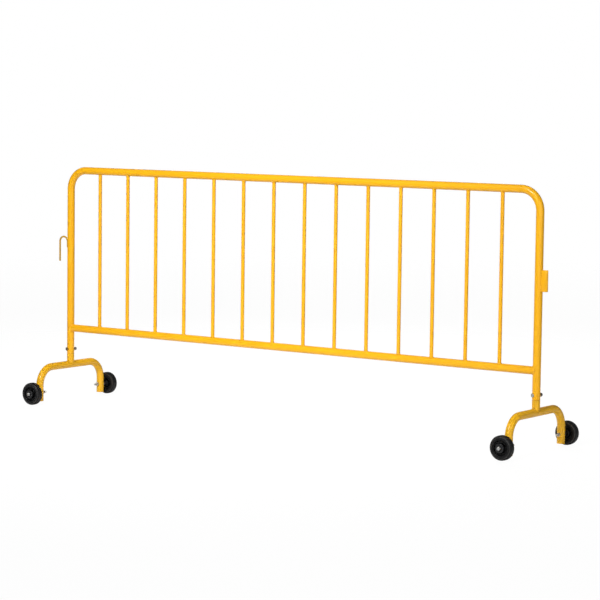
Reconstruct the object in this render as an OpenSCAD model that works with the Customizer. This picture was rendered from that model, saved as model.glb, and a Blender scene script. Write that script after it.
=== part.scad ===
// Crowd control barrier on four wheels: a bent tube frame filled with upright pickets, standing
// on two bolted arch feet, with a hook at one end and a strap eye at the other for linking.
// Millimetres, +Z up. The origin is on the floor, in the frame's plane, midway between the hook's
// outer edge and the far edge of the wheels at the other end. +X runs along the frame, from the
// hook's end (left) to the eye's end (right), and -Y is the front.

/* [Frame] */
// Distance between the centrelines of the two uprights
upright_spacing = 2480; // [2400:10:2600]
// Height of the top rail's centreline above the floor
top_rail_z = 1065.4; // [950:0.1:1150]
// Height of the bottom rail's centreline above the floor
bottom_rail_z = 333.5; // [300:0.5:450]
// Outside diameter of the frame, rail and foot tube (1 in pipe size)
tube_od = 33.4; // [30:0.2:34]
// Wall thickness of the frame, rail and foot tube (16 gauge)
tube_wall = 1.65; // [1.2:0.05:2.2]
// Centreline radius of the two top corner bends
corner_bend_radius = 88; // [60:1:120]

/* [Pickets] */
// Outside diameter of a picket (5/8 in tube)
picket_od = 15.9; // [12:0.1:20]
// Wall thickness of a picket
picket_wall = 1.2; // [0.9:0.1:1.6]
// Distance from one picket's centreline to the next
picket_pitch = 163.8; // [150:0.1:165]

/* [Feet] */
// Height of the arch's top tube centreline above the floor
arch_top_z = 163.5; // [150:0.5:180]
// Distance from the frame's plane to the centreline of a leg
leg_offset = 213; // [180:1:240]
// Centreline radius of the arch bends
arch_bend_radius = 80; // [60:1:90]
// Height of the legs' cut ends above the floor
leg_end_z = 12.5; // [8:0.5:20]
// Height of the joint between a foot's post and its upright
seam_z = 214; // [205:1:220]
// Height of the cross bolt that holds an upright on its post
cross_bolt_z = 235; // [232:1:240]
// Height that a post's reduced end reaches up inside the upright
spigot_length = 55; // [45:1:70]

/* [Wheels] */
// Wheel diameter over the tyre (4 in)
wheel_diameter = 101.6; // [90:0.1:110]
// Width of the tyre (1-1/4 in)
tyre_width = 31.75; // [28:0.25:34]
// Length of the wheel's hub
hub_length = 44; // [40:0.5:48]
// Diameter of the wheel's hub boss
hub_diameter = 38; // [34:1:42]

/* [Hook and eye] */
// Diameter of the hook's rod
hook_rod_d = 8; // [7:0.5:9]
// Centreline radius of the hook's bend
hook_bend_radius = 23; // [20:0.5:28]
// Height of the middle of the rod at the top of the hook
hook_top_z = 756; // [700:1:800]
// Height of the hook's tip
hook_tip_z = 642; // [600:1:660]
// Height of the lower end of the leg welded to the upright
hook_weld_end_z = 707; // [680:1:715]
// Height of the eye strap's lower edge
eye_bottom_z = 655; // [620:1:700]
// Height of the eye strap from edge to edge
eye_height = 87; // [60:1:100]
// Distance from the upright's centreline to the eye's outer face
eye_reach = 42; // [38:0.5:50]
// Overall width of the eye strap across the frame
eye_width = 16; // [14:0.5:20]
// Thickness of the eye strap
eye_thickness = 3; // [2:0.25:3]

/* [Fasteners] */
// Bolt diameter (3/8 in)
bolt_d = 9.525; // [8:0.025:9.6]
// Width across the flats of bolt heads and nuts
hex_width = 14.3; // [13.8:0.05:15]
// Length of an axle bolt under its head (4-1/2 in)
axle_bolt_length = 114.3; // [112:0.1:120]
// Length of the spacer that holds a wheel off its leg (1/2 in)
axle_spacer_length = 12.7; // [8:0.1:14]
// Outside diameter of the spacer (3/4 in)
axle_spacer_od = 19; // [16:0.5:24]
// Length of a cross bolt under its head (1-3/4 in)
cross_bolt_length = 44.5; // [44:0.5:52]
// Angle from straight across the frame to the cross bolts, seen from above
cross_bolt_turn = 25; // [0:5:45]

/* [Hidden] */
$fn = 64;

paint = [1.0, 0.71, 0.12];
rubber = [0.09, 0.09, 0.09];
moulding = [0.13, 0.13, 0.13];
zinc = [0.75, 0.76, 0.78];

picket_count = 14;
tube_r = tube_od / 2;
tube_bore_r = tube_r - tube_wall;
// Gap left between two welded pieces, which the weld fills
weld_gap = 0.1;
wheel_r = wheel_diameter / 2;
axle_z = wheel_r;
// Distances from the upright's centreline to the hook's welded leg and to its free leg
hook_inner_x = tube_r + weld_gap + hook_rod_d / 2;
hook_outer_x = hook_inner_x + 2 * hook_bend_radius;
// The hook's end reaches further out than the eye's end, so the frame sits off centre by half
// the difference
left_reach = hook_outer_x + hook_rod_d / 2;
right_reach = max(eye_reach, wheel_r);
frame_shift = (left_reach - right_reach) / 2;
left_x = frame_shift - upright_spacing / 2;
right_x = frame_shift + upright_spacing / 2;

bolt_r = bolt_d / 2;
bolt_hole_r = bolt_r + 0.25;
// Radial play between a bolt's thread and the pieces threaded or slipped over it
thread_play = 0.05;
head_height = 6;
nut_height = 8.6;
nut_collar_height = 2.8;
nut_collar_r = 6.4;
hex_corner_r = hex_width / 2 / cos(30);

// Swaged upper end of a foot's post
spigot_play = 0.3;
spigot_r = tube_bore_r - spigot_play;
seam_gap = 0.4;
swage_height = 1.6;

shoulder_radius = 8;
// The tyre grips the core's rim, which has a rib round its middle
tyre_seat_r = 36;
tyre_seat_width = 26;
rib_height = 2.5;
rib_width = 10;
bond_gap = 0.02;
rim_inner_r = 32.5;
web_thickness = 11;
hub_r = hub_diameter / 2;
bushing_r = 6.35;
// The bushing is clamped by the bolt, and the wheel turns on it
running_clearance = 0.06;
hub_end_play = 0.4;
bushing_length = hub_length + 2 * hub_end_play;

// Distances outward from the frame's plane along an axle
spacer_start_y = leg_offset + tube_r;
bushing_start_y = spacer_start_y + axle_spacer_length;
wheel_y = bushing_start_y + bushing_length / 2;
bolt_head_y = bushing_start_y + bushing_length;
nut_seat_y = leg_offset - tube_r;

// ---- Shared shapes ----

module tube_section(od, wall) {
    difference() {
        circle(d = od);
        circle(d = od - 2 * wall);
    }
}

module straight_tube(length, od, wall) {
    linear_extrude(length) tube_section(od, wall);
}

// A bent tube whose bend lies in the XY plane, centred on the origin, starting at +X
module tube_bend(radius, angle, od, wall) {
    rotate_extrude(angle = angle) translate([radius, 0]) tube_section(od, wall);
}

// An upside-down U of tube in the XZ plane: legs at -half_width and +half_width
module tube_arch(half_width, top_z, leg_z, radius, od, wall) {
    bend_z = top_z - radius;
    for (side = [0, 1]) {
        mirror([side, 0, 0]) {
            translate([half_width, 0, leg_z]) straight_tube(bend_z - leg_z, od, wall);
            translate([half_width - radius, 0, bend_z]) {
                rotate([90, 0, 0]) tube_bend(radius, 90, od, wall);
            }
        }
    }
    translate([-(half_width - radius), 0, top_z]) {
        rotate([0, 90, 0]) straight_tube(2 * (half_width - radius), od, wall);
    }
}

// Places its children on an upright's axis, with -Y turned towards the cross bolt's head
module at_cross_bolt(x) {
    translate([x, 0, cross_bolt_z]) rotate([0, 0, -cross_bolt_turn]) children();
}

// A cylinder along Y, centred on the origin, used to drill holes
module drill_y(radius, length) {
    rotate([90, 0, 0]) cylinder(r = radius, h = length, center = true);
}

// A hexagon whose top corners are bevelled, from z = 0 up
module hexagon(height, bevel = 1) {
    intersection() {
        cylinder(r = hex_corner_r, h = height, $fn = 6);
        union() {
            cylinder(r = hex_corner_r + 0.01, h = height - bevel);
            translate([0, 0, height - bevel]) {
                cylinder(r1 = hex_corner_r + 0.01, r2 = hex_width / 2 - 0.2, h = bevel);
            }
        }
    }
}

// A hex bolt along Z: its shank runs down from z = 0 and its head stands up from it
module hex_bolt(length) {
    tip_bevel = 1;
    hexagon(head_height);
    translate([0, 0, -length + tip_bevel]) cylinder(r = bolt_r, h = length - tip_bevel);
    translate([0, 0, -length]) cylinder(r1 = bolt_r - tip_bevel, r2 = bolt_r, h = tip_bevel);
}

// A lock nut standing up from z = 0, with a round collar that holds its nylon ring
module lock_nut() {
    difference() {
        union() {
            hexagon(nut_height);
            cylinder(r = nut_collar_r, h = nut_height + nut_collar_height);
        }
        translate([0, 0, -1]) {
            cylinder(r = bolt_r + thread_play, h = nut_height + nut_collar_height + 2);
        }
    }
}

// ---- Frame ----

module frame_hoop() {
    color(paint) difference() {
        translate([frame_shift, 0, 0]) {
            tube_arch(upright_spacing / 2, top_rail_z, seam_z, corner_bend_radius, tube_od, tube_wall);
        }
        for (x = [left_x, right_x]) {
            at_cross_bolt(x) drill_y(bolt_hole_r, 2 * tube_od);
        }
    }
}

// The rail's ends are cut to sit against the round uprights
module bottom_rail() {
    color(paint) difference() {
        translate([left_x, 0, bottom_rail_z]) {
            rotate([0, 90, 0]) straight_tube(upright_spacing, tube_od, tube_wall);
        }
        for (x = [left_x, right_x]) {
            translate([x, 0, bottom_rail_z - tube_od]) cylinder(r = tube_r + weld_gap, h = 2 * tube_od);
        }
    }
}

// Picket number i, counted from the hook end, cut to sit against both rails
module picket(i) {
    x = frame_shift + (i - (picket_count + 1) / 2) * picket_pitch;
    color(paint) translate([x, 0, 0]) difference() {
        translate([0, 0, bottom_rail_z]) {
            straight_tube(top_rail_z - bottom_rail_z, picket_od, picket_wall);
        }
        for (z = [bottom_rail_z, top_rail_z]) {
            translate([0, 0, z]) rotate([0, 90, 0]) {
                cylinder(r = tube_r + weld_gap, h = 2 * picket_od, center = true);
            }
        }
    }
}

// A round rod bent over like a walking stick; its short leg is welded to the left upright
module coupling_hook() {
    bend_z = hook_top_z - hook_bend_radius;
    color(paint) translate([left_x, 0, 0]) {
        translate([-hook_inner_x, 0, hook_weld_end_z]) {
            cylinder(d = hook_rod_d, h = bend_z - hook_weld_end_z);
        }
        translate([-hook_inner_x - hook_bend_radius, 0, bend_z]) rotate([90, 0, 0]) {
            rotate_extrude(angle = 180) translate([hook_bend_radius, 0]) circle(d = hook_rod_d);
        }
        translate([-hook_outer_x, 0, hook_tip_z]) {
            cylinder(d = hook_rod_d, h = bend_z - hook_tip_z);
        }
    }
}

// A flat strap bent into a U, whose two arms are welded to the right upright
module coupling_eye() {
    bend_centre_x = eye_reach - eye_width / 2;
    color(paint) translate([right_x, 0, eye_bottom_z]) difference() {
        linear_extrude(eye_height) {
            difference() {
                union() {
                    translate([0, -eye_width / 2]) square([bend_centre_x, eye_width]);
                    translate([bend_centre_x, 0]) circle(d = eye_width);
                }
                translate([-1, -eye_width / 2 + eye_thickness]) {
                    square([bend_centre_x + 1, eye_width - 2 * eye_thickness]);
                }
                translate([bend_centre_x, 0]) circle(d = eye_width - 2 * eye_thickness);
            }
        }
        translate([0, 0, -1]) cylinder(r = tube_r + weld_gap, h = eye_height + 2);
    }
}

// ---- Feet ----

module foot_arch(x) {
    color(paint) translate([x, 0, 0]) difference() {
        rotate([0, 0, 90]) {
            tube_arch(leg_offset, arch_top_z, leg_end_z, arch_bend_radius, tube_od, tube_wall);
        }
        translate([0, 0, axle_z]) drill_y(bolt_hole_r, 3 * leg_offset);
    }
}

// A short tube cut to sit on the arch, its upper end reduced to slide up inside the upright
module foot_post(x) {
    shoulder_z = seam_z - seam_gap;
    reduced_bore_r = spigot_r - tube_wall;
    color(paint) translate([x, 0, 0]) difference() {
        rotate_extrude() polygon([
            [tube_bore_r, arch_top_z],
            [tube_r, arch_top_z],
            [tube_r, shoulder_z - swage_height],
            [spigot_r, shoulder_z],
            [spigot_r, seam_z + spigot_length],
            [reduced_bore_r, seam_z + spigot_length],
            [reduced_bore_r, shoulder_z],
            [tube_bore_r, shoulder_z - swage_height]
        ]);
        translate([0, 0, arch_top_z]) drill_y(tube_r + weld_gap, 2 * tube_od);
        at_cross_bolt(0) drill_y(bolt_hole_r, 2 * tube_od);
    }
}

// The cross bolt has its head at the front
module cross_bolt(x) {
    color(zinc) at_cross_bolt(x) translate([0, -tube_r, 0]) rotate([90, 0, 0]) {
        hex_bolt(cross_bolt_length);
    }
}

module cross_nut(x) {
    color(zinc) at_cross_bolt(x) translate([0, tube_r, 0]) rotate([-90, 0, 0]) lock_nut();
}

// ---- Wheels ----

// Places its children at one corner: x is the foot's, and outward is -1 at the front, 1 at the rear
module at_axle(x, outward) {
    translate([x, 0, axle_z]) mirror([0, outward < 0 ? 1 : 0, 0]) children();
}

// Half of a rounded rectangle, standing on the axis of the wheel, as a section to turn
module rounded_band(inner_r, outer_r, width, corner_r) {
    translate([inner_r, -width / 2 + corner_r]) square([outer_r - inner_r, width - 2 * corner_r]);
    translate([inner_r, -width / 2]) square([outer_r - inner_r - corner_r, width]);
    for (side = [-1, 1]) {
        translate([outer_r - corner_r, side * (width / 2 - corner_r)]) circle(r = corner_r);
    }
}

module tyre(x, outward) {
    color(rubber) at_axle(x, outward) translate([0, wheel_y, 0]) rotate([90, 0, 0]) {
        rotate_extrude() difference() {
            rounded_band(rim_inner_r + 3, wheel_r, tyre_width, shoulder_radius);
            translate([0, -tyre_seat_width / 2]) square([tyre_seat_r + bond_gap, tyre_seat_width]);
            translate([0, -rib_width / 2]) square([tyre_seat_r + rib_height + bond_gap, rib_width]);
        }
    }
}

// The core is a rim joined to its hub by a plain web
module wheel_core(x, outward) {
    seat_half = tyre_seat_width / 2 - bond_gap;
    rib_half = rib_width / 2 - bond_gap;
    color(moulding) at_axle(x, outward) translate([0, wheel_y, 0]) rotate([90, 0, 0]) {
        rotate_extrude() polygon([
            [bushing_r + running_clearance, -hub_length / 2],
            [hub_r - 1.5, -hub_length / 2],
            [hub_r, -hub_length / 2 + 1.5],
            [hub_r + 1, -web_thickness / 2],
            [rim_inner_r - 1, -web_thickness / 2],
            [rim_inner_r, -seat_half],
            [tyre_seat_r, -seat_half],
            [tyre_seat_r, -rib_half],
            [tyre_seat_r + rib_height, -rib_half],
            [tyre_seat_r + rib_height, rib_half],
            [tyre_seat_r, rib_half],
            [tyre_seat_r, seat_half],
            [rim_inner_r, seat_half],
            [rim_inner_r - 1, web_thickness / 2],
            [hub_r + 1, web_thickness / 2],
            [hub_r, hub_length / 2 - 1.5],
            [hub_r - 1.5, hub_length / 2],
            [bushing_r + running_clearance, hub_length / 2]
        ]);
    }
}

// Steel sleeve that the bolt clamps and the hub turns on
module bushing(x, outward) {
    color(zinc) at_axle(x, outward) translate([0, bushing_start_y, 0]) rotate([-90, 0, 0]) {
        linear_extrude(bushing_length) difference() {
            circle(r = bushing_r);
            circle(r = bolt_r + 0.1);
        }
    }
}

// Short tube between the leg and the wheel, clamped by the bolt
module axle_spacer(x, outward) {
    color(zinc) at_axle(x, outward) translate([0, spacer_start_y, 0]) rotate([-90, 0, 0]) {
        linear_extrude(axle_spacer_length) difference() {
            circle(d = axle_spacer_od);
            circle(r = bolt_hole_r);
        }
    }
}

module axle_bolt(x, outward) {
    color(zinc) at_axle(x, outward) translate([0, bolt_head_y, 0]) {
        rotate([-90, 0, 0]) hex_bolt(axle_bolt_length);
    }
}

module axle_nut(x, outward) {
    color(zinc) at_axle(x, outward) translate([0, nut_seat_y, 0]) {
        rotate([90, 0, 0]) lock_nut();
    }
}

// ---- Nodes ----

frame_hoop();
bottom_rail();
picket(1);  // picket_01
picket(2);  // picket_02
picket(3);  // picket_03
picket(4);  // picket_04
picket(5);  // picket_05
picket(6);  // picket_06
picket(7);  // picket_07
picket(8);  // picket_08
picket(9);  // picket_09
picket(10);  // picket_10
picket(11);  // picket_11
picket(12);  // picket_12
picket(13);  // picket_13
picket(14);  // picket_14
coupling_hook();
coupling_eye();
foot_arch(left_x);  // left_foot_arch
foot_post(left_x);  // left_foot_post
cross_bolt(left_x);  // left_cross_bolt
cross_nut(left_x);  // left_cross_nut
foot_arch(right_x);  // right_foot_arch
foot_post(right_x);  // right_foot_post
cross_bolt(right_x);  // right_cross_bolt
cross_nut(right_x);  // right_cross_nut
tyre(left_x, -1);  // front_left_tyre
wheel_core(left_x, -1);  // front_left_wheel_core
bushing(left_x, -1);  // front_left_bushing
axle_spacer(left_x, -1);  // front_left_axle_spacer
axle_bolt(left_x, -1);  // front_left_axle_bolt
axle_nut(left_x, -1);  // front_left_axle_nut
tyre(right_x, -1);  // front_right_tyre
wheel_core(right_x, -1);  // front_right_wheel_core
bushing(right_x, -1);  // front_right_bushing
axle_spacer(right_x, -1);  // front_right_axle_spacer
axle_bolt(right_x, -1);  // front_right_axle_bolt
axle_nut(right_x, -1);  // front_right_axle_nut
tyre(left_x, 1);  // rear_left_tyre
wheel_core(left_x, 1);  // rear_left_wheel_core
bushing(left_x, 1);  // rear_left_bushing
axle_spacer(left_x, 1);  // rear_left_axle_spacer
axle_bolt(left_x, 1);  // rear_left_axle_bolt
axle_nut(left_x, 1);  // rear_left_axle_nut
tyre(right_x, 1);  // rear_right_tyre
wheel_core(right_x, 1);  // rear_right_wheel_core
bushing(right_x, 1);  // rear_right_bushing
axle_spacer(right_x, 1);  // rear_right_axle_spacer
axle_bolt(right_x, 1);  // rear_right_axle_bolt
axle_nut(right_x, 1);  // rear_right_axle_nut
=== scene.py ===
"""Looks of a wheeled crowd control barrier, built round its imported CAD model.

Metres, +Z up; the front is -Y and the hook's end is -X. Each piece is made at the size and place of
the CAD node that it stands for, with finer curves, bevels, threads, weld beads and finishes.
"""

import math
import random

import bmesh
import bpy
from mathutils import Matrix, Vector


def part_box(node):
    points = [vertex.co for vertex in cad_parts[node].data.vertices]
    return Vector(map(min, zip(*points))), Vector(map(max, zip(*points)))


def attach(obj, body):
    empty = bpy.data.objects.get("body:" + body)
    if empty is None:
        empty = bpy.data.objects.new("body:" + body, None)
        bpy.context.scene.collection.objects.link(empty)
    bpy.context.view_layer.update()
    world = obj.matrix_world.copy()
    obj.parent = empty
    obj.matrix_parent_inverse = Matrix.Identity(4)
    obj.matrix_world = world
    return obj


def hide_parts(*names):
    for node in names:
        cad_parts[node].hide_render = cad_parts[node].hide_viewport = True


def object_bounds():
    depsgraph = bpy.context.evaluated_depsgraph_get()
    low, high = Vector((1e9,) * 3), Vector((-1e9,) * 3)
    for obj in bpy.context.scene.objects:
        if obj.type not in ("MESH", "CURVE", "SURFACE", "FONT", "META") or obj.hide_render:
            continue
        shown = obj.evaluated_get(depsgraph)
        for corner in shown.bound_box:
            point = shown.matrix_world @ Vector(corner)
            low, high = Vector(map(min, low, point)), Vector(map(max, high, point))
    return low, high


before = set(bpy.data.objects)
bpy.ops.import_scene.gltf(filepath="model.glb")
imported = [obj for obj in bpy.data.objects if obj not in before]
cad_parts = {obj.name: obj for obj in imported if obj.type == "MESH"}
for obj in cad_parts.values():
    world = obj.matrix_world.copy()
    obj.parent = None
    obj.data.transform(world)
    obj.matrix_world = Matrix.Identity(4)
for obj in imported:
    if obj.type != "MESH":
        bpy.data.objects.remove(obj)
cad_low, cad_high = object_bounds()

# ---- Sizes that the nodes' boxes don't give ----

TUBE_WALL = 0.00165
PICKET_WALL = 0.0012
CORNER_BEND_RADIUS = 0.088
ARCH_BEND_RADIUS = 0.080
WELD_GAP = 0.0001
SEAM_GAP = 0.0004
SWAGE_HEIGHT = 0.0016
SPIGOT_PLAY = 0.0003
# Rounding of a frame tube's cut edges
TUBE_LIP = 0.0004
# Height of the band round a bolt hole in which a tube has no other edges
HOLE_BAND = 0.016

# Lower end of the hook's welded leg
HOOK_WELD_END_Z = 0.707
EYE_THICKNESS = 0.003

BOLT_RADIUS = 0.0047625
BOLT_HOLE_RADIUS = BOLT_RADIUS + 0.00025
CROSS_BOLT_LENGTH = 0.0445
# Across the flats
HEX_WIDTH = 0.0143
# Radius of the flat face inside a hexagon's bevelled corners
FACE_RADIUS = HEX_WIDTH / 2 - 0.0002
HEAD_HEIGHT = 0.006
NUT_HEIGHT = 0.0086
# The part of a lock nut that holds its nylon ring
COLLAR_HEIGHT = 0.0028
COLLAR_RADIUS = 0.0064
THREAD_PITCH = 0.0254 / 16
THREAD_DEPTH = 0.00085
THREAD_LENGTH = 0.0254
# Degrees that each cross bolt and its nut are screwed round
CROSS_SCREW_TURN = {"left": 20, "right": -11}

# Where a lighter ring, a painted highlight, runs round the tyre's sides, and where they are grooved
HIGHLIGHT_RING_RADIUS = 0.0440
GROOVE_RADIUS = 0.0422
GROOVE_DEPTH = 0.0007
TYRE_SEAT_RADIUS = 0.036
TYRE_SEAT_WIDTH = 0.026
TYRE_RIB_HEIGHT = 0.0025
TYRE_RIB_WIDTH = 0.010
BOND_GAP = 0.00002
RIM_INNER_RADIUS = 0.0325
WEB_THICKNESS = 0.011
HUB_RADIUS = 0.019
BUSHING_RADIUS = 0.00635
RUNNING_CLEARANCE = 0.00006

# Points round each kind of round part
TUBE_SEGMENTS = 64
PICKET_SEGMENTS = 40
HOOK_SEGMENTS = 32
HOLE_SEGMENTS = 32
FASTENER_SEGMENTS = 48
SLEEVE_SEGMENTS = 64
WHEEL_SEGMENTS = 144
BEND_STEP = math.radians(2.5)
EYE_BEND_STEPS = 32
# Faces that meet at more than this angle keep a crisp edge
CRISP_ANGLE = math.radians(28)

X = Vector((1, 0, 0))
Y = Vector((0, 1, 0))
Z = Vector((0, 0, 1))


# ---- Places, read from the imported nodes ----

def middle(node):
    low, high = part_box(node)
    return (low + high) / 2


def size(node):
    low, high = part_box(node)
    return high - low


SIDES = ("left", "right")
CORNERS = [(end, side) for end in ("front", "rear") for side in SIDES]
PICKETS = sorted(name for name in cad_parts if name.startswith("picket_"))

tube_r = size("bottom_rail").z / 2
bore_r = tube_r - TUBE_WALL
upright_x = {side: middle(side + "_foot_post").x for side in SIDES}
top_rail_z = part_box("frame_hoop")[1].z - tube_r
bottom_rail_z = middle("bottom_rail").z
seam_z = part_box("frame_hoop")[0].z
arch_top_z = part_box("left_foot_arch")[1].z - tube_r
leg_end_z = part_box("left_foot_arch")[0].z
leg_offset = size("left_foot_arch").y / 2 - tube_r
axle_z = middle("front_left_tyre").z
cross_bolt_z = middle("left_cross_bolt").z
# The cross bolts are turned about the vertical, which brings their heads nearer to the hook's end
nut_way = middle("left_cross_nut") - Vector((upright_x["left"], 0, cross_bolt_z))
cross_turn = -math.atan2(nut_way.x, nut_way.y)


def hole_band(z):
    """Lowest and highest height of the band round a bolt hole."""
    return z - HOLE_BAND / 2, z + HOLE_BAND / 2


# ---- Mesh helpers ----

def place(name, mesh, material, body, nodes=(), matrix=None):
    """Puts a mesh in the scene as a piece that rides on a body and stands for CAD nodes.

    A mesh that already has materials keeps them.
    """
    obj = bpy.data.objects.new(name, mesh)
    bpy.context.scene.collection.objects.link(obj)
    if matrix is not None:
        obj.matrix_world = matrix
    if not mesh.materials:
        mesh.materials.append(material)
    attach(obj, body)
    if nodes:
        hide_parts(*nodes)
    return obj


def finish_mesh(bm, name):
    """Turns a bmesh into a mesh with outward faces, smooth except at its crisp edges."""
    bmesh.ops.remove_doubles(bm, verts=bm.verts, dist=1e-7)
    bmesh.ops.recalc_face_normals(bm, faces=bm.faces)
    mesh = bpy.data.meshes.new(name)
    bm.to_mesh(mesh)
    bm.free()
    smooth(mesh)
    return mesh


def smooth(mesh):
    mesh.polygons.foreach_set("use_smooth", [True] * len(mesh.polygons))
    mesh.set_sharp_from_angle(angle=CRISP_ANGLE)


def ring(bm, centre, u, v, radius, count):
    """A ring of vertices round centre, in the plane of the unit vectors u and v."""
    points = []
    for i in range(count):
        a = 2 * math.pi * i / count
        points.append(bm.verts.new(centre + radius * (math.cos(a) * u + math.sin(a) * v)))
    return points


def skin(bm, rings, closed):
    """Faces between each ring and the next; closed also joins the last ring to the first."""
    pairs = list(zip(rings, rings[1:]))
    if closed:
        pairs.append((rings[-1], rings[0]))
    faces = []
    for a, b in pairs:
        for i in range(len(a)):
            j = (i + 1) % len(a)
            faces.append(bm.faces.new((a[i], a[j], b[j], b[i])))
    return faces


def cap(bm, points):
    """A fan that closes the end of a solid."""
    centre = bm.verts.new(sum((p.co for p in points), Vector()) / len(points))
    for i in range(len(points)):
        bm.faces.new((points[i], points[(i + 1) % len(points)], centre))


class Path:
    """A line with bends in one plane, kept as stations: a point and the direction of travel."""

    def __init__(self, start, along, inward):
        self.point = Vector(start)
        self.along = Vector(along)
        self.inward = Vector(inward)
        self.stations = [(self.point.copy(), self.along.copy(), self.inward.copy())]

    def mark(self):
        self.stations.append((self.point.copy(), self.along.copy(), self.inward.copy()))

    def straight(self, length):
        self.point += self.along * length
        self.mark()

    def bend(self, radius, angle):
        """Turns towards the inward direction."""
        centre = self.point + self.inward * radius
        start_along = self.along.copy()
        start_inward = self.inward.copy()
        steps = max(2, round(angle / BEND_STEP))
        for i in range(1, steps + 1):
            a = angle * i / steps
            self.inward = start_inward * math.cos(a) - start_along * math.sin(a)
            self.along = start_along * math.cos(a) + start_inward * math.sin(a)
            self.point = centre - self.inward * radius
            self.mark()


def station_ring(bm, station, radius, count, slide=0.0):
    point, along, inward = station
    return ring(bm, point + along * slide, inward, along.cross(inward), radius, count)


def hollow_tube(bm, path):
    """A frame tube along a path, with square cut ends whose edges are slightly rounded."""
    stations = path.stations
    first, last = stations[0], stations[-1]
    lip = TUBE_LIP
    section = [(first, tube_r - lip, 0.0), (first, tube_r - lip * 0.3, lip * 0.3),
               (first, tube_r, lip)]
    section += [(station, tube_r, 0.0) for station in stations[1:-1]]
    section += [(last, tube_r, -lip), (last, tube_r - lip * 0.3, -lip * 0.3),
                (last, tube_r - lip, 0.0), (last, bore_r + lip / 2, 0.0), (last, bore_r, -lip / 2)]
    section += [(station, bore_r, 0.0) for station in reversed(stations[1:-1])]
    section += [(first, bore_r, lip / 2), (first, bore_r + lip / 2, 0.0)]
    rings = [station_ring(bm, station, radius, TUBE_SEGMENTS, slide)
             for station, radius, slide in section]
    skin(bm, rings, closed=True)


def reach(point, along, axis_point, axis, radius):
    """How far a point moves along a direction to leave a cylinder round an axis."""
    flat = (point - axis_point) - axis * (point - axis_point).dot(axis)
    push = along - axis * along.dot(axis)
    a = push.length_squared
    b = flat.dot(push)
    c = flat.length_squared - radius * radius
    return (-b + math.sqrt(max(b * b - a * c, 0.0))) / a


def coped_tube(bm, ends, radius, wall, count):
    """A straight tube between two crossing tubes; ends gives each one's axis point and axis."""
    (start, start_axis), (stop, stop_axis) = ends
    along = (stop - start).normalized()
    u = start_axis
    v = along.cross(u)
    meet = tube_r + WELD_GAP
    rings = []
    for r in (radius, radius - wall):
        first = ring(bm, start, u, v, r, count)
        last = ring(bm, stop, u, v, r, count)
        for vert in first:
            vert.co += along * reach(vert.co, along, start, start_axis, meet)
        for vert in last:
            vert.co -= along * reach(vert.co, -along, stop, stop_axis, meet)
        rings += [first, last] if r == radius else [last, first]
    skin(bm, rings, closed=True)


def turned(profile, count, name):
    """The mesh of a closed ring turned about local Z."""
    bm = bmesh.new()
    add_turned(bm, profile, count)
    return finish_mesh(bm, name)


def add_turned(bm, profile, count, solid=False):
    """Each pair is (height, radius), and either may be a function of the angle."""
    rings = []
    for height, radius in profile:
        points = []
        for i in range(count):
            a = 2 * math.pi * i / count
            r = radius(a) if callable(radius) else radius
            h = height(a) if callable(height) else height
            points.append(bm.verts.new((r * math.cos(a), r * math.sin(a), h)))
        rings.append(points)
    faces = skin(bm, rings, closed=not solid)
    if solid:
        cap(bm, rings[0])
        cap(bm, rings[-1])
    return faces


def arc(centre_height, centre_radius, r, start, stop, steps):
    """Points of a round corner in a profile; 0 degrees points outward, 90 degrees upward."""
    points = []
    for i in range(steps + 1):
        a = math.radians(start + (stop - start) * i / steps)
        points.append((centre_height + r * math.sin(a), centre_radius + r * math.cos(a)))
    return points


def drill(obj, centre, length, turn=0.0):
    """Cuts a bolt hole along Y through a piece; turn swings it about the vertical."""
    along = Matrix.Rotation(turn, 3, "Z") @ Y
    across = Matrix.Rotation(turn, 3, "Z") @ X
    bm = bmesh.new()
    rings = [ring(bm, centre + along * y, across, Z, BOLT_HOLE_RADIUS, HOLE_SEGMENTS)
             for y in (-length / 2, length / 2)]
    skin(bm, rings, closed=False)
    cap(bm, rings[0])
    cap(bm, rings[1])
    cutter = bpy.data.objects.new("cutter", finish_mesh(bm, "cutter"))
    bpy.context.scene.collection.objects.link(cutter)
    cut = obj.modifiers.new("hole", "BOOLEAN")
    cut.object = cutter
    cut.solver = "EXACT"
    bpy.context.view_layer.update()
    evaluated = obj.evaluated_get(bpy.context.evaluated_depsgraph_get())
    drilled = bpy.data.meshes.new_from_object(evaluated)
    obj.modifiers.remove(cut)
    obj.data = drilled
    smooth(drilled)
    bpy.data.objects.remove(cutter)


# ---- Weld beads ----

# Length of one ripple, points round a bead and distance between the rings of a straight one
BEAD_RIPPLE = 0.0021
BEAD_SECTION = 12
BEAD_STEP = 0.0006
# Half widths of the beads, and the number of rings round a picket's and a frame tube's
PICKET_BEAD = 0.0021
RAIL_BEAD = 0.0027
FOOT_BEAD = 0.0026
HOOK_BEAD = 0.0023
EYE_BEAD = 0.0026
PICKET_BEAD_RINGS = 72
TUBE_BEAD_RINGS = 180


def add_bead(bm, points, outs, radius, closed, rng):
    """A rippled weld bead along points; outs gives the direction that the bead faces at each."""
    count = len(points)
    travelled = 0.0
    rings = []
    waves = [(rng.uniform(0, 2 * math.pi), rng.randint(2, 5)) for _ in range(3)]
    for i, (point, out) in enumerate(zip(points, outs)):
        after = points[(i + 1) % count] if closed or i < count - 1 else point
        before = points[i - 1] if closed or i > 0 else point
        along = (after - before).normalized()
        across = along.cross(out).normalized()
        share = i / count
        drift = sum(math.sin(phase + 2 * math.pi * k * share) for phase, k in waves) / 3
        ripple = abs(math.sin(math.pi * travelled / BEAD_RIPPLE))
        r = radius * (0.88 + 0.07 * drift + 0.13 * ripple)
        if not closed:
            from_end = min(i, count - 1 - i) / (count - 1)
            r *= math.sqrt(min(1.0, 0.04 + from_end * 8))
        rings.append(ring(bm, point, out * 0.85, across * 1.1, r, BEAD_SECTION))
        travelled += (after - point).length
    skin(bm, rings, closed=closed)
    if not closed:
        cap(bm, rings[0])
        cap(bm, rings[-1])


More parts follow.
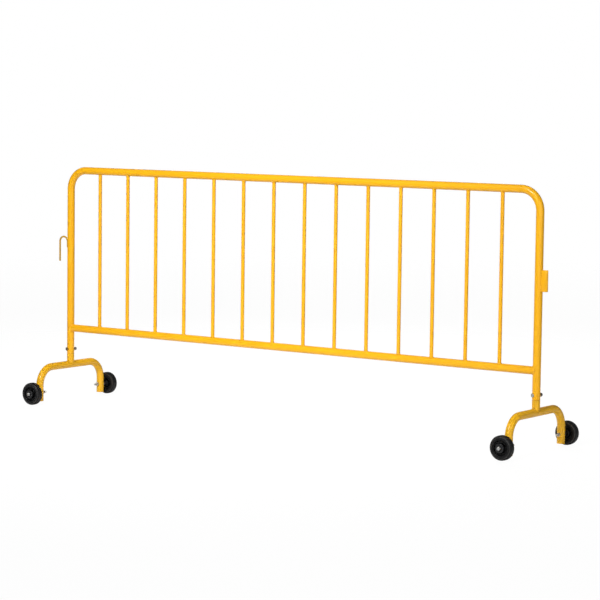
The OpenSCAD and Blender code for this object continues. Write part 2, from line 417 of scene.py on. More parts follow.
def add_saddle_bead(bm, start, along, radius, run_axis, bead, count, rng):
    """The bead round the end of a tube that sits on another tube, whose axis passes start."""
    u = run_axis
    v = along.cross(u)
    points, outs = [], []
    for i in range(count):
        a = 2 * math.pi * i / count
        own = math.cos(a) * u + math.sin(a) * v
        surface = start + own * radius
        point = surface + along * reach(surface, along, start, run_axis, tube_r)
        flat = (point - start) - run_axis * (point - start).dot(run_axis)
        out = (own + flat.normalized()).normalized()
        points.append(point + out * bead * 0.15)
        outs.append(out)
    add_bead(bm, points, outs, bead, True, rng)


def add_straight_bead(bm, start, stop, out, radius, rng):
    """A short stitch between two points."""
    count = max(8, round((stop - start).length / BEAD_STEP))
    points = [start.lerp(stop, i / (count - 1)) for i in range(count)]
    add_bead(bm, points, [out.normalized()] * count, radius, False, rng)


# ---- Materials ----

def node(tree, kind, inputs, output=0, **settings):
    """Adds a shader node, fills its inputs with values or links and gives one output.

    Inputs and the output go by name or by number.
    """
    made = tree.nodes.new(kind)
    for key, value in settings.items():
        setattr(made, key, value)
    for key, value in inputs.items():
        if isinstance(value, bpy.types.NodeSocket):
            tree.links.new(value, made.inputs[key])
        else:
            made.inputs[key].default_value = value
    return made.outputs[output] if made.outputs else None


def noise(tree, where, scale, detail=2.0, rough=0.5):
    inputs = {"Vector": where, "Scale": scale, "Detail": detail, "Roughness": rough}
    return node(tree, "ShaderNodeTexNoise", inputs)


def remap(tree, value, low, high, to_low, to_high):
    """Stretches the range from low to high to the new one, and stops at its ends."""
    inputs = {"Value": value, "From Min": low, "From Max": high,
              "To Min": to_low, "To Max": to_high}
    return node(tree, "ShaderNodeMapRange", inputs)


def blend_colour(tree, share, a, b):
    return node(tree, "ShaderNodeMix", {0: share, 6: a, 7: b}, 2, data_type="RGBA")


def maths(tree, kind, a, b):
    return node(tree, "ShaderNodeMath", {0: a, 1: b}, operation=kind)


def bump(tree, height, strength, distance, normal=None):
    inputs = {"Height": height, "Strength": strength, "Distance": distance}
    if normal is not None:
        inputs["Normal"] = normal
    return node(tree, "ShaderNodeBump", inputs)


def own_coordinates(tree):
    return node(tree, "ShaderNodeTexCoord", {}, "Object")


def openness(tree, distance):
    """1 where the surface is open to the air, less where something stands within a distance."""
    return node(tree, "ShaderNodeAmbientOcclusion", {"Distance": distance}, "AO", samples=4)


def start_material(name):
    material = bpy.data.materials.new(name)
    material.use_nodes = True
    tree = material.node_tree
    tree.nodes.clear()
    return material, tree


def end_material(tree, inputs):
    surface = node(tree, "ShaderNodeBsdfPrincipled", inputs)
    node(tree, "ShaderNodeOutputMaterial", {"Surface": surface})


def shifted_coordinates(tree):
    """Object coordinates shifted by each object's own amount, so that copies of a part differ."""
    chance = node(tree, "ShaderNodeObjectInfo", {}, "Random")
    shift = maths(tree, "MULTIPLY", chance, 3.0)
    inputs = {0: own_coordinates(tree), 1: shift}
    return node(tree, "ShaderNodeVectorMath", inputs, operation="ADD")


def powder_coat(name, light, deep):
    """Sprayed and baked paint: a soft mottle, orange peel, and painted shade where pieces meet."""
    material, tree = start_material(name)
    where = own_coordinates(tree)
    cloud = noise(tree, where, 5.0, 3.0)
    mottle = noise(tree, where, 90.0, 3.0)
    share = maths(tree, "ADD", maths(tree, "MULTIPLY", cloud, 0.7),
                  maths(tree, "MULTIPLY", mottle, 0.3))
    colour = blend_colour(tree, remap(tree, share, 0.35, 0.65, 0.0, 1.0), light, deep)
    # Painted shade: the colour darkens towards a deep brown where nearby pieces shut out light, as in
    # the corners where pieces meet.
    corner = remap(tree, openness(tree, 0.006), 0.35, 0.9, 0.55, 0.0)
    painted_corner_shade = (deep[0] * 0.35, deep[1] * 0.28, deep[2] * 0.3, 1)
    colour = blend_colour(tree, corner, colour, painted_corner_shade)
    speck = node(tree, "ShaderNodeTexVoronoi", {"Vector": where, "Scale": 140.0})
    speck = remap(tree, speck, 0.0, 0.12, 0.6, 0.0)
    peel = noise(tree, where, 420.0, 1.5)
    height = maths(tree, "ADD", peel, speck)
    normal = bump(tree, height, 0.35, 0.00016)
    normal = bump(tree, noise(tree, where, 70.0, 2.0), 0.12, 0.0005, normal)
    end_material(tree, {
        "Base Color": colour,
        "Roughness": remap(tree, mottle, 0.3, 0.7, 0.36, 0.48),
        "Specular IOR Level": 0.3,
        "Coat Weight": 0.32,
        "Coat Roughness": 0.14,
        "Normal": normal,
    })
    return material


def rubber():
    """Moulded tyre rubber: fine mould texture, dusty patches, and a lighter ring round each side
    painted as a highlight.
    """
    material, tree = start_material("tyre_rubber")
    black = (0.0055, 0.0055, 0.006, 1)
    dusty = (0.016, 0.015, 0.014, 1)
    painted_ring_highlight = (0.060, 0.058, 0.054, 1)
    where = shifted_coordinates(tree)
    dust = noise(tree, where, 130.0, 4.0, 0.65)
    inputs = {0: own_coordinates(tree), 1: (1, 1, 0)}
    across = node(tree, "ShaderNodeVectorMath", inputs, operation="MULTIPLY")
    from_axle = node(tree, "ShaderNodeVectorMath", {0: across}, "Value", operation="LENGTH")
    # Painted highlight: a lighter ring round each side, patchy with the dust noise.
    off_ring = maths(tree, "ABSOLUTE", maths(tree, "SUBTRACT", from_axle, HIGHLIGHT_RING_RADIUS), 0)
    highlight_ring_share = maths(tree, "MULTIPLY", remap(tree, off_ring, 0.0004, 0.0016, 1.0, 0.0),
                 remap(tree, dust, 0.3, 0.6, 0.45, 1.0))
    colour = blend_colour(tree, remap(tree, dust, 0.5, 0.75, 0.0, 0.5), black, dusty)
    colour = blend_colour(tree, highlight_ring_share, colour, painted_ring_highlight)
    grain = noise(tree, where, 1400.0, 2.0)
    normal = bump(tree, grain, 0.35, 0.00012)
    end_material(tree, {
        "Base Color": colour,
        "Roughness": remap(tree, dust, 0.3, 0.7, 0.42, 0.62),
        "Specular IOR Level": 0.3,
        "Normal": normal,
    })
    return material


def moulded_plastic():
    """Black injection-moulded plastic with a fine texture and faint flow marks, and painted shade
    darkening its recesses.
    """
    material, tree = start_material("wheel_moulding")
    where = shifted_coordinates(tree)
    flow = noise(tree, where, 60.0, 3.0)
    colour = blend_colour(tree, remap(tree, flow, 0.35, 0.65, 0.0, 1.0),
                          (0.010, 0.010, 0.011, 1), (0.018, 0.018, 0.019, 1))
    # Painted shade: recesses, such as the dish round the hub, are painted near black and lose most of
    # their shine.
    painted_recess_shade = remap(tree, openness(tree, 0.03), 0.5, 0.92, 1.0, 0.0)
    colour = blend_colour(tree, painted_recess_shade, colour, (0.0015, 0.0015, 0.0015, 1))
    texture = noise(tree, where, 1800.0, 1.0)
    normal = bump(tree, texture, 0.25, 0.0001)
    end_material(tree, {
        "Base Color": colour,
        "Roughness": remap(tree, flow, 0.3, 0.7, 0.36, 0.5),
        "Specular IOR Level": remap(tree, painted_recess_shade, 0.0, 1.0, 0.4, 0.05),
        "Normal": normal,
    })
    return material


def zinc_plate(name, blue, straw):
    """Zinc plate: cloudy brightness, a faint blue and straw tint, a fine grain, and painted shade in
    tight corners.
    """
    material, tree = start_material(name)
    painted_corner_shade = (0.16, 0.14, 0.12, 1)
    where = shifted_coordinates(tree)
    cloud = noise(tree, where, 160.0, 4.0)
    tint = blend_colour(tree, remap(tree, noise(tree, where, 90.0, 2.0), 0.35, 0.65, 0.0, 1.0),
                        blue, straw)
    # Painted shade: the colour darkens towards brown in tight corners where nearby surfaces shut out
    # light.
    corner = remap(tree, openness(tree, 0.002), 0.3, 0.9, 0.6, 0.0)
    colour = blend_colour(tree, corner, tint, painted_corner_shade)
    normal = bump(tree, noise(tree, where, 900.0, 2.0), 0.2, 0.00008)
    end_material(tree, {
        "Base Color": colour,
        "Metallic": 1.0,
        "Roughness": remap(tree, cloud, 0.3, 0.7, 0.26, 0.46),
        "Normal": normal,
    })
    return material


def nylon():
    """The lock nuts' ring: milky, slightly waxy plastic."""
    material, tree = start_material("lock_ring_nylon")
    where = shifted_coordinates(tree)
    cloud = noise(tree, where, 300.0, 3.0)
    colour = blend_colour(tree, cloud, (0.60, 0.62, 0.64, 1), (0.72, 0.72, 0.70, 1))
    end_material(tree, {
        "Base Color": colour,
        "Roughness": remap(tree, cloud, 0.3, 0.7, 0.4, 0.55),
        "Subsurface Weight": 0.15,
        "Subsurface Radius": (0.001, 0.001, 0.001),
        "Normal": bump(tree, cloud, 0.15, 0.0001),
    })
    return material


FRAME_PAINT = powder_coat("frame_paint", (0.86, 0.43, 0.004, 1), (0.815, 0.39, 0.003, 1))
FOOT_PAINT = powder_coat("foot_paint", (0.82, 0.435, 0.009, 1), (0.76, 0.40, 0.008, 1))
# Painted shade: the hook has the frame's amber, darkened to stand for the shade on the thin rod.
SHADED_HOOK_PAINT = powder_coat("shaded_hook_paint", (0.52, 0.30, 0.016, 1), (0.44, 0.26, 0.014, 1))
RUBBER = rubber()
MOULDING = moulded_plastic()
ZINC = zinc_plate("zinc_plate", (0.58, 0.60, 0.63, 1), (0.63, 0.61, 0.55, 1))
# Painted shade: a darker copy of the zinc, standing for the shade on the cross nuts and the left cross
# bolt.
SHADED_ZINC = zinc_plate("shaded_zinc", (0.26, 0.25, 0.24, 1), (0.22, 0.19, 0.15, 1))
NYLON = nylon()


# ---- Frame ----

def arch_path(half_width, top_z, low_z, radius, across, middle_point, leg_stations):
    """The line of an upside-down U of tube; leg_stations are heights of extra stations."""
    start = middle_point - across * half_width
    path = Path((start.x, start.y, low_z), Z, across)
    heights = [low_z, *leg_stations, top_z - radius]
    for low, high in zip(heights, heights[1:]):
        path.straight(high - low)
    path.bend(radius, math.pi / 2)
    path.straight(half_width - radius)
    path.straight(half_width - radius)
    path.bend(radius, math.pi / 2)
    for low, high in reversed(list(zip(heights, heights[1:]))):
        path.straight(high - low)
    return path


def build_hoop():
    half = (upright_x["right"] - upright_x["left"]) / 2
    centre = Vector(((upright_x["right"] + upright_x["left"]) / 2, 0, 0))
    band = hole_band(cross_bolt_z)
    path = arch_path(half, top_rail_z, seam_z, CORNER_BEND_RADIUS, X, centre, band)
    bm = bmesh.new()
    hollow_tube(bm, path)
    hoop = place("frame_hoop_tube", finish_mesh(bm, "frame_hoop"), FRAME_PAINT,
                 "frame", ["frame_hoop"])
    for x in upright_x.values():
        drill(hoop, Vector((x, 0, cross_bolt_z)), 3 * tube_r, cross_turn)


def build_bottom_rail():
    bm = bmesh.new()
    ends = [(Vector((upright_x[side], 0, bottom_rail_z)), Z) for side in SIDES]
    coped_tube(bm, ends, tube_r, TUBE_WALL, TUBE_SEGMENTS)
    place("bottom_rail_tube", finish_mesh(bm, "bottom_rail"), FRAME_PAINT,
          "frame", ["bottom_rail"])


def build_pickets():
    for name in PICKETS:
        x = middle(name).x
        bm = bmesh.new()
        ends = [(Vector((x, 0, z)), X) for z in (bottom_rail_z, top_rail_z)]
        coped_tube(bm, ends, size(name).x / 2, PICKET_WALL, PICKET_SEGMENTS)
        place(name + "_tube", finish_mesh(bm, name), FRAME_PAINT, "frame", [name])


def rounded_end(bm, station, radius, lip, angles, way):
    """Rings of a solid rod's rounded end; way is 1 at the rod's start and -1 at its other end."""
    rings = []
    for angle in angles:
        a = math.radians(angle)
        slide = way * lip * (1 - math.cos(a))
        rings.append(station_ring(bm, station, radius - lip * (1 - math.sin(a)), HOOK_SEGMENTS, slide))
    return rings


def build_hook():
    low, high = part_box("coupling_hook")
    rod_r = size("coupling_hook").y / 2
    bend_radius = (high.x - low.x) / 2 - rod_r
    bend_z = high.z - rod_r - bend_radius
    tip_z = low.z
    path = Path((high.x - rod_r, 0, HOOK_WELD_END_Z), Z, -X)
    path.straight(bend_z - HOOK_WELD_END_Z)
    path.bend(bend_radius, math.pi)
    path.straight(bend_z - tip_z)
    bm = bmesh.new()
    lip = 0.0012
    rings = rounded_end(bm, path.stations[0], rod_r, lip, (0, 30, 60), 1)
    rings += [station_ring(bm, station, rod_r, HOOK_SEGMENTS) for station in path.stations[1:-1]]
    rings += rounded_end(bm, path.stations[-1], rod_r, lip, (90, 60, 30, 0), -1)
    skin(bm, rings, closed=False)
    cap(bm, rings[0])
    cap(bm, rings[-1])
    place("coupling_hook_rod", finish_mesh(bm, "coupling_hook"), SHADED_HOOK_PAINT,
          "frame", ["coupling_hook"])


def build_eye():
    """A flat strap bent into a U and stood on edge, with its arms against the upright."""
    low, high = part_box("coupling_eye")
    half = (high.y - low.y) / 2
    upright = upright_x["right"]
    bend_x = high.x - half
    meet = tube_r + WELD_GAP
    bevel = 0.0006

    def outline(inset):
        """Points of the strap's outer and inner faces, from one arm's end to the other's."""
        outer_r = half - inset
        inner_r = half - EYE_THICKNESS + inset
        chains = []
        for r in (outer_r, inner_r):
            chain = [Vector((upright + math.sqrt(meet * meet - r * r), -r, 0))]
            for i in range(EYE_BEND_STEPS + 1):
                a = math.radians(-90 + 180 * i / EYE_BEND_STEPS)
                chain.append(Vector((bend_x + r * math.cos(a), r * math.sin(a), 0)))
            chain.append(Vector((upright + math.sqrt(meet * meet - r * r), r, 0)))
            chains.append(chain)
        return chains[0] + chains[1][::-1]

    bm = bmesh.new()
    rings = []
    for z, inset in ((low.z, bevel), (low.z + bevel * 0.3, bevel * 0.3), (low.z + bevel, 0),
                     (high.z - bevel, 0), (high.z - bevel * 0.3, bevel * 0.3), (high.z, bevel)):
        rings.append([bm.verts.new(p + Z * z) for p in outline(inset)])
    skin(bm, rings, closed=False)
    count = len(rings[0])
    for level in (rings[0], rings[-1]):
        for i in range(count // 2 - 1):
            bm.faces.new((level[i], level[i + 1], level[count - 2 - i], level[count - 1 - i]))
    place("coupling_eye_strap", finish_mesh(bm, "coupling_eye"), FRAME_PAINT,
          "frame", ["coupling_eye"])


def build_frame_welds():
    rng = random.Random(7)
    bm = bmesh.new()
    for name in PICKETS:
        x = middle(name).x
        r = size(name).x / 2
        for z, along in ((bottom_rail_z, Z), (top_rail_z, -Z)):
            add_saddle_bead(bm, Vector((x, 0, z)), along, r, X, PICKET_BEAD, PICKET_BEAD_RINGS, rng)
    place("picket_welds", finish_mesh(bm, "picket_welds"), FRAME_PAINT, "frame")

    bm = bmesh.new()
    for side, along in (("left", X), ("right", -X)):
        start = Vector((upright_x[side], 0, bottom_rail_z))
        add_saddle_bead(bm, start, along, tube_r, Z, RAIL_BEAD, TUBE_BEAD_RINGS, rng)
    place("rail_welds", finish_mesh(bm, "rail_welds"), FRAME_PAINT, "frame")

    low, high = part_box("coupling_hook")
    rod_r = size("coupling_hook").y / 2
    bend_z = high.z - (high.x - low.x) / 2
    bm = bmesh.new()
    for front in (-1, 1):
        corner = Vector((high.x - rod_r + 0.0030, front * 0.0040, 0))
        out = Vector((-0.35, front, 0))
        add_straight_bead(bm, corner + Z * (HOOK_WELD_END_Z + 0.001), corner + Z * (bend_z + 0.001),
                          out, HOOK_BEAD, rng)
    place("hook_welds", finish_mesh(bm, "hook_welds"), FRAME_PAINT, "frame")

    low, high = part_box("coupling_eye")
    stitch = 0.015
    from_edge = 0.011
    bm = bmesh.new()
    for front in (-1, 1):
        y = front * ((high.y - low.y) / 2 + 0.0006)
        x = upright_x["right"] + math.sqrt(tube_r ** 2 - y * y) + 0.0008
        for z in (low.z + from_edge, high.z - from_edge - stitch):
            add_straight_bead(bm, Vector((x, y, z)), Vector((x, y, z + stitch)),
                              Vector((0.5, front, 0)), EYE_BEAD, rng)
    place("eye_welds", finish_mesh(bm, "eye_welds"), FRAME_PAINT, "frame")


# ---- Feet ----

def build_foot(side, rng):
    x = upright_x[side]
    path = arch_path(leg_offset, arch_top_z, leg_end_z, ARCH_BEND_RADIUS, Y, Vector((x, 0, 0)),
                     hole_band(axle_z))
    bm = bmesh.new()
    hollow_tube(bm, path)
    name = side + "_foot_arch"
    arch = place(name + "_tube", finish_mesh(bm, name), FOOT_PAINT, "frame", [name])
    drill(arch, Vector((x, 0, axle_z)), 3 * leg_offset)

    name = side + "_foot_post"
    spigot_r = bore_r - SPIGOT_PLAY
    reduced_bore_r = spigot_r - TUBE_WALL
    spigot_top_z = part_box(name)[1].z
    shoulder_z = seam_z - SEAM_GAP
    swage_z = shoulder_z - SWAGE_HEIGHT
    band_low, band_high = hole_band(cross_bolt_z)
    outer = [(arch_top_z, tube_r), (swage_z - 0.0005, tube_r), (swage_z + 0.0002, tube_r - 0.00015),
             (shoulder_z - 0.0002, spigot_r + 0.0002), (shoulder_z, spigot_r),
             (band_low, spigot_r), (band_high, spigot_r), (spigot_top_z - 0.0005, spigot_r),
             (spigot_top_z, spigot_r - 0.0005)]
    inner = [(spigot_top_z, reduced_bore_r), (band_high, reduced_bore_r), (band_low, reduced_bore_r),
             (shoulder_z, reduced_bore_r), (swage_z, bore_r), (arch_top_z, bore_r)]
    bm = bmesh.new()
    rings = [ring(bm, Vector((x, 0, z)), Y, -X, r, TUBE_SEGMENTS) for z, r in outer + inner]
    for points in (rings[0], rings[-1]):
        for vert in points:
            vert.co += Z * reach(vert.co, Z, Vector((x, 0, arch_top_z)), Y, tube_r + WELD_GAP)
    skin(bm, rings, closed=True)
    post = place(name + "_tube", finish_mesh(bm, name), FOOT_PAINT, "frame", [name])
    drill(post, Vector((x, 0, cross_bolt_z)), 3 * tube_r, cross_turn)

    bm = bmesh.new()
    start = Vector((x, 0, arch_top_z))
    add_saddle_bead(bm, start, Z, tube_r, Y, FOOT_BEAD, TUBE_BEAD_RINGS, rng)
    place(side + "_foot_welds", finish_mesh(bm, side + "_foot_welds"), FOOT_PAINT,
          "frame")


# ---- Fasteners, each made once about local Z and placed where it is used ----

def hex_radius(a):
    """Distance from the axis to a hexagon's side, at an angle."""
    sixth = math.pi / 3
    from_flat = (a + sixth / 2) % sixth - sixth / 2
    return HEX_WIDTH / 2 / math.cos(from_flat)


def hex_bevel(height, drop, down=False):
    """Height at which a hexagon's corners meet the cone that bevels them."""
    corner_r = HEX_WIDTH / 2 / math.cos(math.pi / 6)

    def at(a):
        fall = drop * (hex_radius(a) - FACE_RADIUS) / (corner_r - FACE_RADIUS)
        return height + fall if down else height - fall

    return at


def thread_radius(height, top):
    """A V thread below top, as a function of the angle, that fades out into the plain shank."""

    def at(a):
        turn = (height / THREAD_PITCH - a / (2 * math.pi)) % 1.0
        depth = THREAD_DEPTH * abs(2 * turn - 1) ** 0.9
        fade = min(1.0, max(0.0, (top - height) / THREAD_PITCH))
        return BOLT_RADIUS - depth * fade

    return at


def clipped(shape, limit):
    """The smaller of a thread's radius and the radius of the bevel on the bolt's tip."""
    return lambda a: min(shape(a), limit)


def bolt_mesh(name, length):
    """Head above local z = 0, shank below it, with a cut thread on its last inch."""
    profile = [(HEAD_HEIGHT - 0.0001, FACE_RADIUS - 0.0018), (HEAD_HEIGHT, FACE_RADIUS - 0.0012),
               (HEAD_HEIGHT, FACE_RADIUS), (hex_bevel(HEAD_HEIGHT, 0.001), hex_radius),
               (hex_bevel(0.0003, 0.0004, down=True), hex_radius), (0.0003, FACE_RADIUS),
               (0.0, FACE_RADIUS - 0.0001), (0.0, BOLT_RADIUS + 0.0004), (-0.0004, BOLT_RADIUS)]
    thread_top = -length + THREAD_LENGTH
    tip_bevel = 0.001
    steps_a_turn = 6
    steps = round(THREAD_LENGTH / THREAD_PITCH * steps_a_turn)
    for i in range(steps + 1):
        height = thread_top - THREAD_LENGTH * i / steps
        shape = thread_radius(height, thread_top)
        limit = BOLT_RADIUS - max(0.0, tip_bevel - (height + length))
        profile.append((height, clipped(shape, limit)))
    bm = bmesh.new()
    add_turned(bm, profile, FASTENER_SEGMENTS, solid=True)
    return finish_mesh(bm, name)


def nut_mesh(name, plate):
    """A lock nut that stands up from local z = 0, with its nylon ring under the collar's lip."""
    top = NUT_HEIGHT + COLLAR_HEIGHT
    bore = BOLT_RADIUS + 0.00005
    steel = [(0.0004, bore), (0.0, bore + 0.0004), (0.0, FACE_RADIUS),
             (hex_bevel(0.0, 0.0006, down=True), hex_radius),
             (hex_bevel(NUT_HEIGHT, 0.001), hex_radius), (NUT_HEIGHT, FACE_RADIUS),
             (NUT_HEIGHT, COLLAR_RADIUS + 0.0002), (NUT_HEIGHT + 0.0003, COLLAR_RADIUS)]
    steel += arc(top - 0.0008, COLLAR_RADIUS - 0.0008, 0.0008, 0, 90, 6)
    steel += [(top, bore + 0.0006), (top - 0.0004, bore + 0.0005)]
    nylon_ring = [(top - 0.0005, bore), (top - 0.0022, bore)]
    bm = bmesh.new()
    faces = add_turned(bm, steel + nylon_ring, FASTENER_SEGMENTS)
    first = (len(steel) - 1) * FASTENER_SEGMENTS
    for face in faces[first:first + 2 * FASTENER_SEGMENTS]:
        face.material_index = 1
    mesh = finish_mesh(bm, name)
    mesh.materials.append(plate)
    mesh.materials.append(NYLON)
    return mesh


def facing(point, outward):
    """Places a turned part: local Z points out along -Y or +Y from a point."""
    columns = Matrix((X, Z * -outward, Y * outward)).transposed()
    return Matrix.Translation(point) @ columns.to_4x4()


def lift(distance):
    return Matrix.Translation((0, 0, distance))


def reach_out(name, outward):
    """Lowest and highest distance of a node from the frame's plane, counted outward."""
    low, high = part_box(name)
    return sorted((low.y * outward, high.y * outward))


def sleeve_mesh(name, low, high, radius, bore):
    """A short tube with broken edges, between two heights."""
    edge = 0.0003
    profile = [(low + edge, bore), (low, bore + edge), (low, radius - edge), (low + edge, radius),
               (high - edge, radius), (high, radius - edge), (high, bore + edge),
               (high - edge, bore)]
    return turned(profile, SLEEVE_SEGMENTS, name)


def build_cross_bolts():
    """The nuts and the left bolt wear a darker copy of the zinc, as painted shade; the right bolt is
    bright.
    """
    nut = nut_mesh("cross_nut", SHADED_ZINC)
    for side, plate in (("left", SHADED_ZINC), ("right", ZINC)):
        bolt = bolt_mesh(side + "_cross_bolt", CROSS_BOLT_LENGTH)
        centre = Matrix.Translation((upright_x[side], 0, cross_bolt_z))
        at = centre @ Matrix.Rotation(cross_turn, 4, "Z")
        turn = Matrix.Rotation(math.radians(CROSS_SCREW_TURN[side]), 4, "Z")
        for kind, mesh, outward in (("bolt", bolt, -1), ("nut", nut, 1)):
            name = f"{side}_cross_{kind}"
            place(name + "_steel", mesh, plate, "frame", [name],
                  at @ facing(Vector((0, 0, 0)), outward) @ lift(tube_r) @ turn)


def build_axle_fasteners():
    nut = nut_mesh("axle_nut", ZINC)
    tail, head = reach_out("rear_left_axle_bolt", 1)
    seat = head - HEAD_HEIGHT
    bolt = bolt_mesh("axle_bolt", seat - tail)
    nut_seat = leg_offset - tube_r
    low, high = reach_out("rear_left_bushing", 1)
    bushing = sleeve_mesh("bushing", low, high, BUSHING_RADIUS, BOLT_RADIUS + 0.0001)
    low, high = reach_out("rear_left_axle_spacer", 1)
    spacer_radius = size("rear_left_axle_spacer").z / 2
    spacer = sleeve_mesh("axle_spacer", low, high, spacer_radius, BOLT_HOLE_RADIUS)
    rng = random.Random(11)
    for end, side in CORNERS:
        outward = -1 if end == "front" else 1
        at = facing(Vector((upright_x[side], 0, axle_z)), outward)
        corner = f"{end}_{side}_"
        turn = Matrix.Rotation(rng.uniform(0, math.pi / 3), 4, "Z")
        place(corner + "axle_bolt_steel", bolt, ZINC, "frame",
              [corner + "axle_bolt"], at @ lift(seat) @ turn)
        turn = Matrix.Rotation(rng.uniform(0, math.pi / 3), 4, "Z")
        inward = Matrix.Rotation(math.pi, 4, "X")
        place(corner + "axle_nut_steel", nut, ZINC, "frame",
              [corner + "axle_nut"], at @ lift(nut_seat) @ inward @ turn)
        for kind, mesh in (("bushing", bushing), ("axle_spacer", spacer)):
            place(corner + kind + "_steel", mesh, ZINC, "frame", [corner + kind], at)


# ---- Wheels ----

def tyre_mesh():
    """Solid rubber tyre: crowned tread with a moulding line, round shoulders, ringed sides."""
    wheel_r = size("rear_left_tyre").z / 2
    half = size("rear_left_tyre").y / 2
    shoulder = 0.008
    seat = TYRE_SEAT_RADIUS + BOND_GAP
    seat_half = TYRE_SEAT_WIDTH / 2
    rib_half = TYRE_RIB_WIDTH / 2
    crown = 0.0004
    inner = RIM_INNER_RADIUS + 0.003
    upper = [(0.0, wheel_r), (0.0003, wheel_r - 0.00005), (0.0005, wheel_r - 0.0003),
             (half * 0.25, wheel_r - 0.00035)]
    upper += arc(half - shoulder, wheel_r - crown - shoulder, shoulder, 4, 78, 14)
    upper += [(half - 0.0001, GROOVE_RADIUS + 0.0010),
              (half - GROOVE_DEPTH, GROOVE_RADIUS + 0.0005),
              (half - GROOVE_DEPTH, GROOVE_RADIUS - 0.0005),
              (half - 0.0001, GROOVE_RADIUS - 0.0010),
              (half, GROOVE_RADIUS - 0.0015), (half, inner + 0.0016)]
    upper += arc(half - 0.0010, inner + 0.0010, 0.0010, 80, 180, 6)
    upper += [(seat_half, inner), (seat_half - 0.00001, seat), (rib_half, seat),
              (rib_half, seat + TYRE_RIB_HEIGHT)]
    lower = [(-h, r) for h, r in upper[1:]][::-1]
    return turned(upper + lower, WHEEL_SEGMENTS, "tyre")


def core_mesh():
    """Moulded core: a hub boss, a recessed web and a rim lip, all with rounded inner corners."""
    half = size("rear_left_wheel_core").y / 2
    bore = BUSHING_RADIUS + RUNNING_CLEARANCE
    web = WEB_THICKNESS / 2
    seat_half = TYRE_SEAT_WIDTH / 2 - BOND_GAP
    rib_half = TYRE_RIB_WIDTH / 2 - BOND_GAP
    rim = RIM_INNER_RADIUS
    upper = [(half - 0.0006, bore), (half, bore + 0.0006), (half, HUB_RADIUS - 0.0036),
             (half - 0.0004, HUB_RADIUS - 0.0031)]
    upper += arc(half - 0.0019, HUB_RADIUS - 0.0016, 0.0015, 90, 8, 6)
    upper += arc(web + 0.0018, HUB_RADIUS + 0.0028, 0.0018, 180, 270, 6)
    upper += arc(web + 0.0020, rim - 0.0032, 0.0020, 270, 360, 6)
    upper += [(seat_half - 0.0010, rim - 0.0004)]
    upper += arc(seat_half - 0.0006, rim + 0.0006, 0.0006, 180, 90, 4)
    upper += [(seat_half, TYRE_SEAT_RADIUS), (rib_half, TYRE_SEAT_RADIUS),
              (rib_half, TYRE_SEAT_RADIUS + TYRE_RIB_HEIGHT)]
    lower = [(-h, r) for h, r in upper][::-1]
    return turned(upper + lower, WHEEL_SEGMENTS, "wheel_core")


def build_wheels():
    tyre = tyre_mesh()
    core = core_mesh()
    for end, side in CORNERS:
        outward = -1 if end == "front" else 1
        at = facing(middle(f"{end}_{side}_tyre"), outward)
        body = f"{end}_{side}_wheel"
        place(f"{end}_{side}_tyre_rubber", tyre, RUBBER, body,
              [f"{end}_{side}_tyre"], at)
        place(f"{end}_{side}_wheel_core_moulding", core, MOULDING, body,
              [f"{end}_{side}_wheel_core"], at)


build_hoop()
build_bottom_rail()
build_pickets()
build_hook()
build_eye()
build_frame_welds()
weld_rng = random.Random(5)
for side_name in SIDES:
    build_foot(side_name, weld_rng)
build_cross_bolts()
build_axle_fasteners()
build_wheels()


# ---- Floor, light and camera ----

FLOOR_RADIUS = 12.0
FLOOR_FADE_START = 3.0
FLOOR_SEGMENTS = 96


def build_floor():
    """A pale disc that fades into the white background and is clear from below."""
    bm = bmesh.new()
    rings = [ring(bm, Vector((0, 0, 0)), X, Y, radius, FLOOR_SEGMENTS)
             for radius in (FLOOR_RADIUS, FLOOR_FADE_START)]
    skin(bm, rings, closed=False)
    cap(bm, rings[1])
    mesh = bpy.data.meshes.new("floor")
    bmesh.ops.recalc_face_normals(bm, faces=bm.faces)
    bm.to_mesh(mesh)
    bm.free()
    floor = bpy.data.objects.new("floor", mesh)
    bpy.context.scene.collection.objects.link(floor)
    material, tree = start_material("pale_floor")
    where = own_coordinates(tree)
    far = node(tree, "ShaderNodeVectorMath", {0: where}, "Value", operation="LENGTH")
    fade = remap(tree, far, FLOOR_FADE_START, FLOOR_RADIUS - 2, 0.0, 1.0)
    to_camera = node(tree, "ShaderNodeLightPath", {}, "Is Camera Ray")
    tone = blend_colour(tree, to_camera, (0.75, 0.75, 0.75, 1), (0.05, 0.05, 0.05, 1))
    matt = node(tree, "ShaderNodeBsdfDiffuse", {"Color": tone})
    glow = node(tree, "ShaderNodeEmission", {"Strength": maths(tree, "MULTIPLY", to_camera, 0.96)})
    lit = node(tree, "ShaderNodeAddShader", {0: matt, 1: glow})
    clear = node(tree, "ShaderNodeBsdfTransparent", {})
    below = node(tree, "ShaderNodeNewGeometry", {}, "Backfacing")
    hidden = maths(tree, "MAXIMUM", fade, below)
    surface = node(tree, "ShaderNodeMixShader", {0: hidden, 1: lit, 2: clear})
    node(tree, "ShaderNodeOutputMaterial", {"Surface": surface})
    mesh.materials.append(material)


def build_world():
    """White behind the object; for light, a dim studio with a brighter ceiling."""
    world = bpy.data.worlds.new("studio")
    bpy.context.scene.world = world
    world.use_nodes = True
    tree = world.node_tree
    tree.nodes.clear()
    to_camera = node(tree, "ShaderNodeLightPath", {}, "Is Camera Ray")
    direction = node(tree, "ShaderNodeTexCoord", {}, "Generated")
    up = node(tree, "ShaderNodeSeparateXYZ", {0: direction}, "Z")
    glow = remap(tree, up, -0.2, 0.9, 0.10, 0.17)
    white = node(tree, "ShaderNodeBackground", {"Color": (1, 1, 1, 1), "Strength": 1.0})
    room = node(tree, "ShaderNodeBackground", {"Color": (1, 1, 1, 1), "Strength": glow})
    surface = node(tree, "ShaderNodeMixShader", {0: to_camera, 1: room, 2: white})
    node(tree, "ShaderNodeOutputWorld", {"Surface": surface})


def way_to(azimuth, elevation):
    """The direction from the barrier to a viewer; azimuth 0 is straight in front of it."""
    a, e = math.radians(azimuth), math.radians(elevation)
    return Vector((math.sin(a) * math.cos(e), -math.cos(a) * math.cos(e), math.sin(e)))


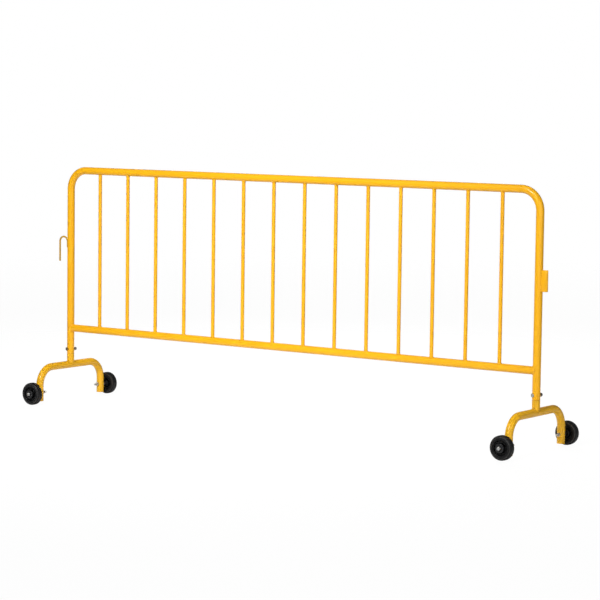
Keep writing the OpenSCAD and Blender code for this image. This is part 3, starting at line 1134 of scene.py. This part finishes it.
def soft_light(name, azimuth, elevation, distance, width, height, power, spread,
               aim=(0, 0, 0), mirrored=True):
    """A large rectangular light; spread narrows its beam and aim moves it off the middle.

    A light that isn't mirrored leaves no reflection on the paint.
    """
    target = (cad_low + cad_high) / 2 + Vector(aim)
    back = way_to(azimuth, elevation)
    light = bpy.data.lights.new(name, "AREA")
    light.shape = "RECTANGLE"
    light.size = width
    light.size_y = height
    light.energy = power
    light.spread = math.radians(spread)
    obj = bpy.data.objects.new(name, light)
    bpy.context.scene.collection.objects.link(obj)
    obj.location = target + back * distance
    obj.rotation_euler = (-back).to_track_quat("-Z", "Y").to_euler()
    obj.visible_camera = False
    obj.visible_glossy = mirrored


CAMERA_AZIMUTH = 35.308
CAMERA_ELEVATION = 5.265
CAMERA_ROLL = 0.728
CAMERA_LENS = 140.31
CAMERA_DISTANCE = 10.101
# The point looked at, from the middle of the frame's plane at floor level
CAMERA_TARGET = (0.0639, 0.0, 0.5458)


def build_camera():
    back = way_to(CAMERA_AZIMUTH, CAMERA_ELEVATION)
    roll = math.radians(CAMERA_ROLL)
    right = (-back).cross(Z).normalized()
    up = right.cross(-back)
    turned_right = right * math.cos(roll) + up * math.sin(roll)
    turned_up = up * math.cos(roll) - right * math.sin(roll)
    data = bpy.data.cameras.new("camera")
    data.lens = CAMERA_LENS
    camera = bpy.data.objects.new("camera", data)
    bpy.context.scene.collection.objects.link(camera)
    frame_middle = Vector(((upright_x["left"] + upright_x["right"]) / 2, 0, 0))
    axes = Matrix((turned_right, turned_up, back)).transposed()
    spot = frame_middle + Vector(CAMERA_TARGET) + back * CAMERA_DISTANCE
    camera.matrix_world = Matrix.Translation(spot) @ axes.to_4x4()
    data.clip_end = 60.0
    bpy.context.scene.camera = camera


build_floor()
build_world()
soft_light("key_light", azimuth=8, elevation=36, distance=6.3, width=2.2, height=1.6,
           power=42, spread=54, aim=(-0.2, 0, 0.38))
soft_light("front_light", azimuth=35, elevation=6, distance=6.5, width=3.0, height=2.0,
           power=28, spread=80, aim=(0, 0, 0.1), mirrored=False)
soft_light("fill_light", azimuth=75, elevation=12, distance=6.0, width=2.5, height=2.5,
           power=42, spread=180)
soft_light("back_light", azimuth=214, elevation=24, distance=6.0, width=3.0, height=2.0,
           power=90, spread=90, mirrored=False)
build_camera()

bpy.context.scene.view_settings.view_transform = "Standard"
